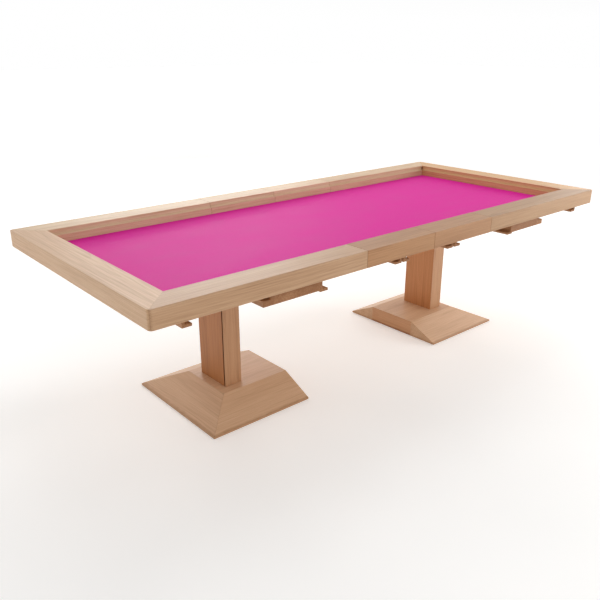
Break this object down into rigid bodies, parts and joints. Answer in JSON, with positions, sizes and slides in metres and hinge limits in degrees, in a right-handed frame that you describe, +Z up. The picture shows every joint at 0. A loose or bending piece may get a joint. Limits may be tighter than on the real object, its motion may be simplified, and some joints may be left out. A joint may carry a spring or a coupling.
{
  "type": "gaming table",
  "caption": "Extending wooden gaming table with a recessed cloth playing surface, drop-in leaves, split pedestals with sloping bases, and tray runners under the rim.",
  "frame": {"origin": "on the floor, under the middle of the table", "axes": "+X along the table's length, +Y across it towards the back long side, +Z up"},
  "size_m": [2.65, 1.19, 0.75],
  "materials": {
    "rim_wood": "pale natural hardwood, satin oil",
    "column_wood": "natural hardwood with upright grain, satin oil",
    "base_wood": "natural hardwood, satin oil",
    "underframe_wood": "planed natural hardwood, matt",
    "slide_wood": "waxed hardwood, matt",
    "board_ply": "plywood, matt",
    "play_cloth": "magenta woven baize, matt",
    "felt": "brown felt strip",
    "steel": "zinc plated"
  },
  "bodies": {
    "left_half": {"front_rail_left": "rim_wood", "back_rail_left": "rim_wood", "end_rail_left": "rim_wood", "play_board_left": "board_ply", "play_cloth_left": "play_cloth", "slide_front_left": "slide_wood", "slide_back_left": "slide_wood", "bearer_left": "underframe_wood", "runner_outer_left": "underframe_wood", "runner_inner_left": "underframe_wood", "runner_end_left": "underframe_wood", "seam_batten_left": "underframe_wood", "column_left": "column_wood", "column_cover_left": "column_wood", "tie_rod_left": "steel", "base_core_left": "base_wood", "base_inner_board_left": "base_wood", "base_front_wedge_left": "base_wood", "base_back_wedge_left": "base_wood", "base_outer_wedge_left": "base_wood", "felt_outer_left": "felt", "felt_inner_left": "felt"},
    "right_half": {"front_rail_right": "rim_wood", "back_rail_right": "rim_wood", "end_rail_right": "rim_wood", "play_board_right": "board_ply", "play_cloth_right": "play_cloth", "slide_front_right": "slide_wood", "slide_back_right": "slide_wood", "bearer_right": "underframe_wood", "runner_outer_right": "underframe_wood", "runner_inner_right": "underframe_wood", "runner_end_right": "underframe_wood", "seam_batten_right": "underframe_wood", "column_right": "column_wood", "column_cover_right": "column_wood", "tie_rod_right": "steel", "base_core_right": "base_wood", "base_inner_board_right": "base_wood", "base_front_wedge_right": "base_wood", "base_back_wedge_right": "base_wood", "base_outer_wedge_right": "base_wood", "felt_outer_right": "felt", "felt_inner_right": "felt"},
    "slide_middle_front": {"slide_front_middle": "slide_wood"},
    "slide_middle_back": {"slide_back_middle": "slide_wood"},
    "leaf_1": {"leaf_1_front_rail": "rim_wood", "leaf_1_back_rail": "rim_wood", "leaf_1_board": "board_ply", "leaf_1_cloth": "play_cloth", "leaf_1_outer_runner": "underframe_wood", "leaf_1_inner_runner": "underframe_wood", "leaf_1_batten": "underframe_wood"},
    "leaf_2": {"leaf_2_front_rail": "rim_wood", "leaf_2_back_rail": "rim_wood", "leaf_2_board": "board_ply", "leaf_2_cloth": "play_cloth", "leaf_2_outer_runner": "underframe_wood", "leaf_2_inner_runner": "underframe_wood", "leaf_2_batten": "underframe_wood"}
  },
  "joints": [
    {"name": "extension", "type": "slide", "parent": "left_half", "child": "right_half", "axis": [1, 0, 0], "range_m": [0, 0.06]},
    {"name": "middle_member_front", "type": "slide", "parent": "left_half", "child": "slide_middle_front", "axis": [1, 0, 0], "range_m": [0, 0.03]},
    {"name": "middle_member_back", "type": "slide", "parent": "left_half", "child": "slide_middle_back", "axis": [1, 0, 0], "range_m": [0, 0.03]},
    {"name": "leaf_1_lift", "type": "slide", "parent": "left_half", "child": "leaf_1", "axis": [0, 0, 1], "range_m": [0, 0.15]},
    {"name": "leaf_2_lift", "type": "slide", "parent": "right_half", "child": "leaf_2", "axis": [0, 0, 1], "range_m": [0, 0.15]}
  ],
  "couplings": [
    {"joint": "middle_member_front", "follows": "extension", "ratio": 0.5},
    {"joint": "middle_member_back", "follows": "extension", "ratio": 0.5}
  ]
}
